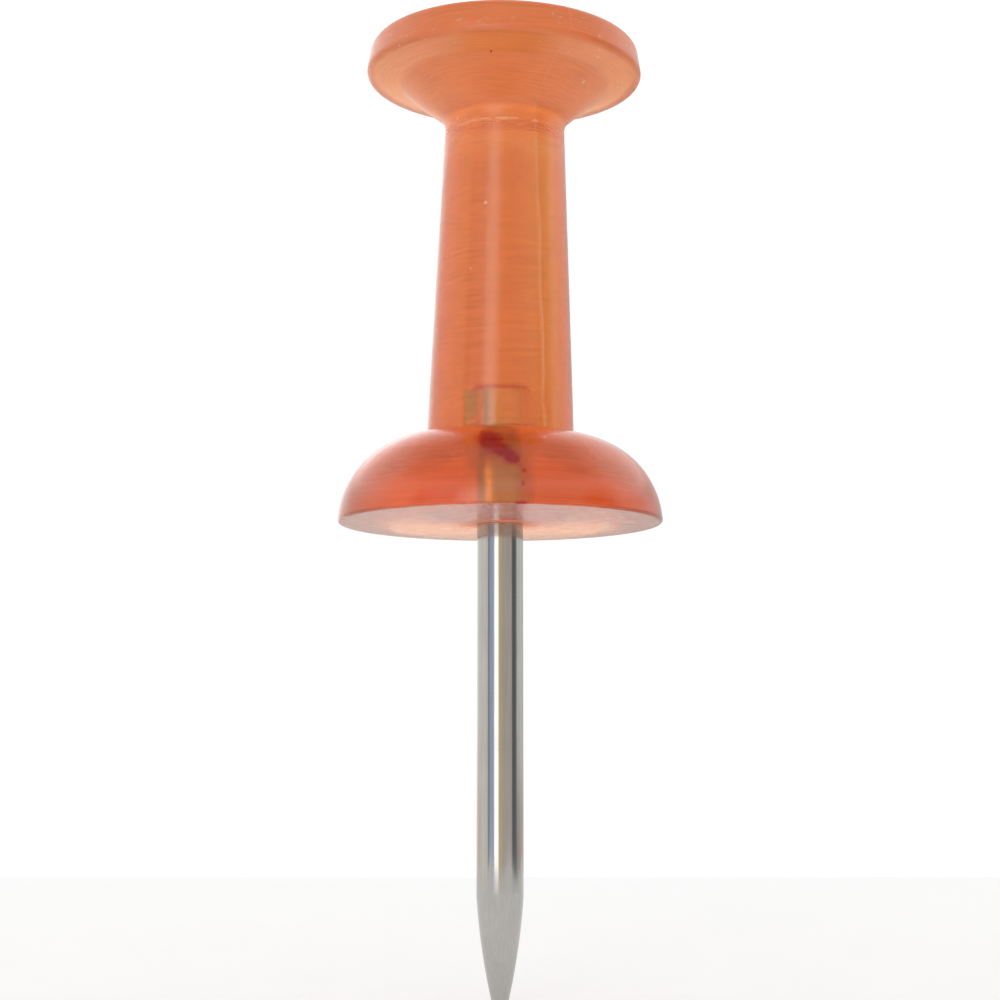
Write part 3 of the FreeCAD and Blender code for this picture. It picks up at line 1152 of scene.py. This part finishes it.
@dataclass
class SteelPin:
    """The wire pin: round tip, long taper, plain shank and ring grooves."""

    wire_radius: float
    point_length: float
    embedded_length: float
    taper_length: float = 2.85 * MM
    taper_bulge: float = 0.055 * MM
    tip_radius: float = 0.24 * MM
    tip_half_angle: float = math.radians(13.0)
    groove_start: float = 1.75 * MM
    groove_pitch: float = 0.24 * MM
    groove_width: float = 0.2 * MM
    groove_depth: float = 0.05 * MM
    groove_count: int = 4
    end_chamfer: float = 0.1 * MM
    end_thinning: float = 0.02 * MM
    segments: int = 160

    @classmethod
    def from_frame(cls) -> "SteelPin":
        """Take the wire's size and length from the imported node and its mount.

        Returns:
            The pin, with its overall sizes.
        """
        low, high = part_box(Node.PIN.value)
        mounts = {mount["name"]: mount for mount in frame["record"]["mounts"]}
        wire_radius = mounts["pin_shank"]["dims"]["r_mm"] * MM
        return cls(wire_radius, -low.z, high.z)

    def embedded(self, outline: Outline, gap: float) -> Outline:
        """Draw the grooved end, from the cut end's centre down to the shoulder.

        Args:
            outline: the outline to add to.
            gap: how far outside the wire's surface the line runs.

        Returns:
            The outline, at the shoulder's underside.
        """
        top = self.embedded_length + gap
        end = self.side(self.embedded_length) + gap
        outline.to(0.0, top).to(end - self.end_chamfer, top).to(end, top - self.end_chamfer)
        curve = self.groove_width**2 / 8.0 / self.groove_depth + self.groove_depth / 2.0
        for number in reversed(range(self.groove_count)):
            middle = self.groove_start + number * self.groove_pitch
            depth = self.side(middle) - (self.wire_radius - self.groove_depth)
            half = math.sqrt(curve**2 - (curve - depth) ** 2)
            outline.to(self.side(middle + half) + gap, middle + half)
            outline.bulge((self.side(middle - half) + gap, middle - half), depth, 6)
        return outline.to(self.wire_radius + gap, 0.0)

    def side(self, height: float) -> float:
        """Give the wire's radius at a height above the seat, grooves apart."""
        return self.wire_radius - self.end_thinning * height / self.embedded_length

    def outline(self) -> Outline:
        """Draw the whole half section, from the cut end to the tip.

        Returns:
            The outline.
        """
        lean = self.tip_half_angle
        centre = (0.0, self.tip_radius - self.point_length)
        outline = Outline().arc(centre, self.tip_radius, (-math.pi / 2.0, -lean), 12)
        outline.bulge((self.wire_radius, self.taper_length - self.point_length), self.taper_bulge, 24)
        hidden = self.embedded(Outline(), 0.0).points
        outline.to(*hidden[-1])
        outline.points.extend(reversed(hidden[:-1]))
        return outline

    def build(self, lathe: ShapeTree, finish: SteelFinish) -> bpy.types.Object:
        """Turn the pin and dress it.

        Args:
            lathe: the tree that turns a half section.
            finish: the steel's finish.

        Returns:
            The finished piece.
        """
        piece = bpy.data.objects.new("steel_pin_wire", self.outline().mesh("steel_pin_wire"))
        bpy.context.scene.collection.objects.link(piece)
        grow(piece, lathe, {"Segments": self.segments, "Material": finish.material()})
        return settle(piece, Node.PIN, Slot.STEEL)


@dataclass
class Handle:
    """The moulded handle: shoulder, barrel, flare and thumb disc."""

    head_height: float
    shoulder_radius: float
    pin: SteelPin
    shoulder_height: float = 2.35 * MM
    dome_bulge: float = 0.645 * MM
    seat_edge_radius: float = 0.08 * MM
    barrel_foot_radius: float = 2.0 * MM
    neck_radius: float = 1.64 * MM
    neck_fillet_radius: float = 0.55 * MM
    flare_height: float = 1.01 * MM
    land_width: float = 0.94 * MM
    land_rise: float = 0.2 * MM
    disc_radius: float = 3.83 * MM
    disc_thickness: float = 0.92 * MM
    rim_draft: float = 0.16 * MM
    rim_lip_radius: float = 0.19 * MM
    crown_edge_radius: float = 0.3 * MM
    air_gap: float = 0.012 * MM
    segments: int = 256
    faults: Faults = Faults(
        ridge_height=0.016 * MM,
        ridge_width=0.035 * MM,
        ridge_angle=math.radians(-51.5),
        ridge_twist=math.radians(-0.9) / MM,
        ridge_wander=math.radians(9.0),
        crowding=0.72,
        ripple_height=0.006 * MM,
        ripple_pitch=0.45 * MM,
        lean=math.radians(0.82),
        lean_start=1.6 * MM,
        lean_end=3.0 * MM,
        disc_shift=-0.047 * MM,
    )
    bubble_count: int = 70
    bubble_inner_radius: float = 1.0 * MM
    bubble_margin: float = 0.5 * MM
    bubble_cover_below: float = 0.1 * MM
    bubble_cover_above: float = 0.12 * MM

    @classmethod
    def from_frame(cls, pin: SteelPin) -> "Handle":
        """Take the handle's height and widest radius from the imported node."""
        low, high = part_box(Node.HANDLE.value)
        return cls(high.z - low.z, (high.x - low.x) / 2.0, pin)

    def outline(self) -> Outline:
        """Draw the half section, from the bore's blind end round to the crown.

        The crown is lowered by what the lean lifts its edge.

        Returns:
            The outline.
        """
        crown = self.head_height - (self.disc_radius - self.rim_draft) * math.sin(self.faults.lean)
        rim_low = (self.disc_radius, crown - self.disc_thickness)
        rim_high = (self.disc_radius - self.rim_draft, crown)
        land = (self.disc_radius - self.land_width, rim_low[1] - self.land_rise)
        neck = (self.neck_radius, land[1] - self.flare_height)
        outline = self.pin.embedded(Outline(), self.air_gap)
        edge = self.seat_edge_radius
        outline.to(self.shoulder_radius - edge, 0.0)
        outline.arc((self.shoulder_radius - edge, edge), edge, (-math.pi / 2.0, 0.0), 6)
        outline.bulge((self.barrel_foot_radius, self.shoulder_height), self.dome_bulge, 40)
        outline.corner(neck, land, self.neck_fillet_radius, 10)
        outline.to(*land)
        outline.corner(rim_low, rim_high, self.rim_lip_radius, 12)
        outline.corner(rim_high, (0.0, crown), self.crown_edge_radius, 12)
        return outline.to(0.0, crown)

    def build(self, lathe: ShapeTree, bubbles: ShapeTree, finish: PlasticFinish) -> bpy.types.Object:
        """Turn the handle, add its bubbles and dress it.

        Args:
            lathe: the tree that turns a half section.
            bubbles: the tree that adds voids.
            finish: the plastic's finish.

        Returns:
            The finished piece.
        """
        plastic = finish.material()
        piece = bpy.data.objects.new("handle_moulding", self.outline().mesh("handle_moulding"))
        bpy.context.scene.collection.objects.link(piece)
        grow(piece, lathe, {
            "Segments": self.segments,
            **self.faults.inputs(),
            "Bore Radius": self.pin.wire_radius + 4.0 * self.air_gap,
            "Bore Depth": self.pin.embedded_length + 4.0 * self.air_gap,
            "Material": plastic,
            "Bore Material": BoreFinish().material(),
        })
        grow(piece, bubbles, {
            "Count": self.bubble_count,
            "Inner Radius": self.bubble_inner_radius,
            "Outer Radius": self.disc_radius - self.bubble_margin,
            "Lowest": self.head_height - self.disc_thickness + self.bubble_cover_below,
            "Highest": self.head_height - self.bubble_cover_above,
            "Material": plastic,
        })
        return settle(piece, Node.HANDLE, Slot.PLASTIC)


def settle(piece: bpy.types.Object, node: Node, slot: Slot) -> bpy.types.Object:
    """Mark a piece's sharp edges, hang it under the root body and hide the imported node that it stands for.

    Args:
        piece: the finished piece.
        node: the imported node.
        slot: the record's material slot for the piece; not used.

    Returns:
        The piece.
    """
    piece.data.set_sharp_from_angle(angle=SHARP_ANGLE)
    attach(piece, "root")
    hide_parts(node.value)
    return piece


@dataclass(frozen=True)
class Ray:
    """Where light comes from, as the world's nodes know it."""

    tree: Tree
    aside: Socket
    front: Socket
    above: Socket
    turn: Socket
    through: Socket

    @classmethod
    def of(cls, tree: Tree, through: Socket) -> "Ray":
        """Read the direction from the world's nodes.

        Args:
            tree: the world's nodes.
            through: 1 for light that comes through the plastic, else 0.

        Returns:
            The ray. Its turn goes from 0 at the back, round by the left, to 1.
        """
        x, y, z = tree.separate(tree.add("ShaderNodeTexCoord").outputs["Generated"])
        front = tree.times(y, -1.0)
        turn = tree.plus(tree.over(tree.math("ARCTAN2", x, front), TURN), 0.5)
        return cls(tree, x, front, z, turn, through)

    def rise(self, heights: Point, shares: Point = (0.0, 1.0)) -> Socket:
        """Map a band of heights on a range of shares, with eased ends."""
        return self.tree.remap(self.above, heights, shares, smooth=True)


@dataclass
class Studio:
    """White surroundings with soft lights, and a pale floor."""

    floor_height: float
    floor_size: float = 90.0 * MM
    strength: float = 1.0
    paper: Colour = (1.0, 1.0, 1.0, 1.0)
    paper_strength: float = 1.05
    deep: Colour = (0.72, 0.71, 0.70, 1.0)
    deep_rise: Point = (-0.7, -0.3)
    lowest_rise: Point = (-0.25, -0.20)
    level_rise: Point = (-0.06, 0.02)
    raised_rise: Point = (0.08, 0.14)
    sky_behind_rise: Point = (0.32, 0.38)
    sky_before_rise: Point = (0.40, 0.50)
    sky_turn: Point = (-0.2, 0.15)
    side_lift: Point = (0.30, -0.30)
    side_lift_band: Point = (-0.25, 0.25)
    side_lift_turn: Point = (-0.9, -0.6)
    level_panels: Tones = (
        (-84.0, (1.50, 1.05, 0.95)),
        (-70.0, (1.40, 1.00, 1.00)),
        (-58.0, (0.65, 0.70, 1.20)),
        (-46.0, (0.65, 0.70, 1.20)),
        (-41.0, (1.30, 1.50, 2.60)),
        (-26.0, (1.30, 1.50, 2.60)),
        (-18.0, (1.50, 1.20, 1.20)),
        (64.0, (1.60, 1.15, 1.10)),
        (84.0, (1.40, 1.10, 1.05)),
    )
    low_panels: Tones = (
        (-84.0, (0.90, 0.85, 0.80)),
        (-70.0, (0.55, 0.75, 2.00)),
        (-46.0, (0.80, 1.30, 4.00)),
        (-41.0, (3.00, 4.20, 3.00)),
        (-33.0, (3.00, 4.20, 3.00)),
        (-27.0, (0.85, 1.60, 5.00)),
        (50.0, (0.85, 1.60, 5.00)),
        (70.0, (0.60, 0.90, 2.00)),
        (84.0, (0.90, 0.88, 0.85)),
    )
    lowest_back: Tones = (
        (-145.0, (1.25, 1.30, 1.25)),
        (-125.0, (1.15, 1.15, 1.10)),
        (-112.0, (0.55, 0.50, 0.48)),
        (-90.0, (0.45, 0.44, 0.42)),
        (94.0, (0.45, 0.45, 0.45)),
        (112.0, (0.80, 0.80, 0.80)),
        (125.0, (1.20, 1.25, 1.20)),
        (145.0, (1.25, 1.30, 1.25)),
        (180.0, (1.45, 1.75, 1.80)),
    )
    low_back: Tones = (
        (-162.0, (0.98, 0.85, 0.77)),
        (-150.0, (0.99, 0.80, 0.72)),
        (-125.0, (0.95, 0.86, 0.82)),
        (-90.0, (1.10, 1.06, 1.00)),
        (94.0, (0.50, 0.46, 0.42)),
        (125.0, (0.72, 0.64, 0.58)),
        (150.0, (1.10, 0.90, 0.82)),
        (162.0, (1.12, 0.94, 0.84)),
        (180.0, (0.92, 0.84, 0.77)),
    )
    level_back: Tones = (
        (-90.0, (1.05, 1.02, 0.97)),
        (94.0, (0.88, 0.89, 0.89)),
        (180.0, (1.05, 1.05, 1.05)),
    )
    raised_back: Tones = (
        (-175.0, (0.90, 1.00, 1.10)),
        (-162.0, (0.90, 1.32, 1.75)),
        (-140.0, (0.98, 1.90, 2.20)),
        (-129.0, (1.00, 1.15, 0.95)),
        (-90.0, (0.95, 0.93, 0.90)),
        (94.0, (0.85, 0.83, 0.80)),
        (127.0, (0.95, 0.82, 0.66)),
        (151.0, (0.94, 1.12, 1.08)),
        (173.0, (0.86, 1.10, 1.20)),
        (180.0, (0.90, 1.05, 1.15)),
    )
    sky_behind: Tones = (
        (0.50, (1.15, 1.00, 0.90)),
        (0.58, (1.70, 2.00, 2.00)),
        (0.70, (1.70, 2.00, 2.00)),
        (0.80, (1.00, 1.10, 1.10)),
        (0.95, (0.55, 0.55, 0.55)),
    )
    sky_bounced: Tones = (
        (0.40, (1.45, 1.45, 1.45)),
        (0.70, (1.20, 1.20, 1.20)),
        (0.90, (0.55, 0.55, 0.55)),
    )
    sky_before: Tones = (
        (0.60, (1.10, 1.10, 1.10)),
        (0.66, (0.55, 0.55, 0.55)),
    )

    def build(self) -> None:
        """Build the floor and the light."""
        self._floor()
        self._world()

    def _floor(self) -> None:
        """Lay the floor just under the pin's tip."""
        half = self.floor_size / 2.0
        corners = [(-half, -half), (half, -half), (half, half), (-half, half)]
        mesh = bpy.data.meshes.new("floor")
        mesh.from_pydata([(x, y, self.floor_height) for x, y in corners], [], [(0, 1, 2, 3)])
        mesh.materials.append(FloorFinish().material())
        floor = bpy.data.objects.new("floor", mesh)
        bpy.context.scene.collection.objects.link(floor)

    def _world(self) -> None:
        """Light the scene from all round, with soft panels by the camera."""
        world = bpy.data.worlds.new("studio")
        world.use_nodes = True
        bpy.context.scene.world = world
        tree = Tree(world.node_tree)
        path = tree.add("ShaderNodeLightPath").outputs
        ray = Ray.of(tree, path["Is Transmission Ray"])
        colour = tree.blend(ray.rise(self.deep_rise, (1.0, 0.0)), self._sky(ray, self._level(ray)), self.deep)
        light = world.node_tree.nodes["Background"]
        tree.join(tree.scaled(colour, self._side_lift(ray)), light.inputs["Color"])
        light.inputs["Strength"].default_value = self.strength
        white = tree.make("ShaderNodeBackground", {"Color": self.paper, "Strength": self.paper_strength})
        mix = tree.make("ShaderNodeMixShader", {"Fac": path["Is Camera Ray"]})
        tree.join(light.outputs[0], mix.inputs[1])
        tree.join(white.outputs[0], mix.inputs[2])
        tree.join(mix.outputs[0], world.node_tree.nodes["World Output"].inputs["Surface"])

    def _level(self, ray: Ray) -> Socket:
        """Stack the rings of tones, from the lowest light up to the sky.

        Args:
            ray: where the light comes from.

        Returns:
            The tone socket.
        """
        tree = ray.tree
        colour = self._ring(ray, self.low_back, self.low_panels)
        rings = (
            (self.lowest_rise, (1.0, 0.0), ray.through, self.lowest_back, self.low_panels),
            (self.level_rise, (0.0, 1.0), 1.0, self.level_back, self.level_panels),
            (self.raised_rise, (0.0, 1.0), ray.through, self.raised_back, self.level_panels),
        )
        for heights, shares, kept, back, panels in rings:
            share = tree.times(ray.rise(heights, shares), kept)
            colour = tree.blend(share, colour, self._ring(ray, back, panels))
        return colour

    def _sky(self, ray: Ray, colour: Socket) -> Socket:
        """Lay the sky over the rings, before the pin and behind it.

        Args:
            ray: where the light comes from.
            colour: the rings' tones.

        Returns:
            The tone socket.
        """
        tree = ray.tree
        before = tree.remap(ray.front, self.sky_turn, (0.0, 1.0), smooth=True)
        bounced, behind, ahead = [
            tree.ramp(ray.above, tones) for tones in (self.sky_bounced, self.sky_behind, self.sky_before)
        ]
        sky = tree.blend(before, tree.blend(ray.through, bounced, behind), ahead)
        rise_before = tree.times(ray.rise(self.sky_before_rise), before)
        rise_behind = tree.times(ray.rise(self.sky_behind_rise), tree.minus(1.0, before))
        return tree.blend(tree.plus(rise_before, rise_behind), colour, sky)

    def _side_lift(self, ray: Ray) -> Socket:
        """Make the backdrop brighter on the left for the light that bounces off a surface.

        Args:
            ray: where the light comes from.

        Returns:
            The socket of the factor on the tone.
        """
        tree = ray.tree
        behind = tree.remap(ray.front, self.side_lift_turn, (1.0, 0.0))
        share = tree.times(behind, tree.minus(1.0, ray.through))
        lift = tree.remap(ray.aside, self.side_lift_band, self.side_lift)
        return tree.plus(1.0, tree.times(share, lift))

    @staticmethod
    def _ring(ray: Ray, back: Tones, panels: Tones) -> Socket:
        """Join the panels by the camera to a backdrop, as tones over the whole turn.

        Args:
            ray: where the light comes from.
            back: the backdrop's tones by the angle from the front, right
                positive, for the angles past the panels on either side.
            panels: the panels' tones for light that comes through the plastic.

        Returns:
            The tone socket.
        """
        behind = next(tone for angle, tone in back if angle == 180.0)
        ramps = []
        for front in (FRONT_PANELS, panels):
            tones = sorted(((-180.0, behind), *back, *front))
            stops = tuple((angle / 360.0 + 0.5, tone) for angle, tone in tones)
            ramps.append(ray.tree.ramp(ray.turn, stops))
        return ray.tree.blend(ray.through, *ramps)


@dataclass
class PhotoCamera:
    """A camera in front of the pin, a little below the shoulder, looking up."""

    focal_pixels: float = 1832.0
    frame_pixels: float = 1000.0
    sensor: float = 36.0
    distance: float = 49.14 * MM
    height: float = -5.718 * MM
    tilt: float = math.radians(7.391)

    def build(self) -> None:
        """Add the camera and make it the scene's."""
        lens = bpy.data.cameras.new("photo_camera")
        lens.sensor_width = self.sensor
        lens.lens = self.focal_pixels / self.frame_pixels * self.sensor
        lens.clip_start = 1.0 * MM
        lens.clip_end = 10.0
        camera = bpy.data.objects.new("photo_camera", lens)
        camera.location = (0.0, -self.distance, self.height)
        camera.rotation_euler = (math.pi / 2.0 + self.tilt, 0.0, 0.0)
        bpy.context.scene.collection.objects.link(camera)
        bpy.context.scene.camera = camera


def main() -> None:
    """Build the pieces in order and report each one."""
    logging.basicConfig(level=logging.INFO, format="%(name)s: %(message)s")
    bpy.context.scene.view_settings.view_transform = "Standard"
    lathe, bubbles = LatheTree(), BubbleTree()
    pin = SteelPin.from_frame()
    pieces = [
        pin.build(lathe, SteelFinish()),
        Handle.from_frame(pin).build(lathe, bubbles, PlasticFinish()),
    ]
    for piece in pieces:
        LOG.info("%s: %d faces", piece.name, len(piece.data.polygons))
    Studio(floor_height=CAD_BOX[0][2]).build()
    PhotoCamera().build()


if __name__ == "__main__":
    main()
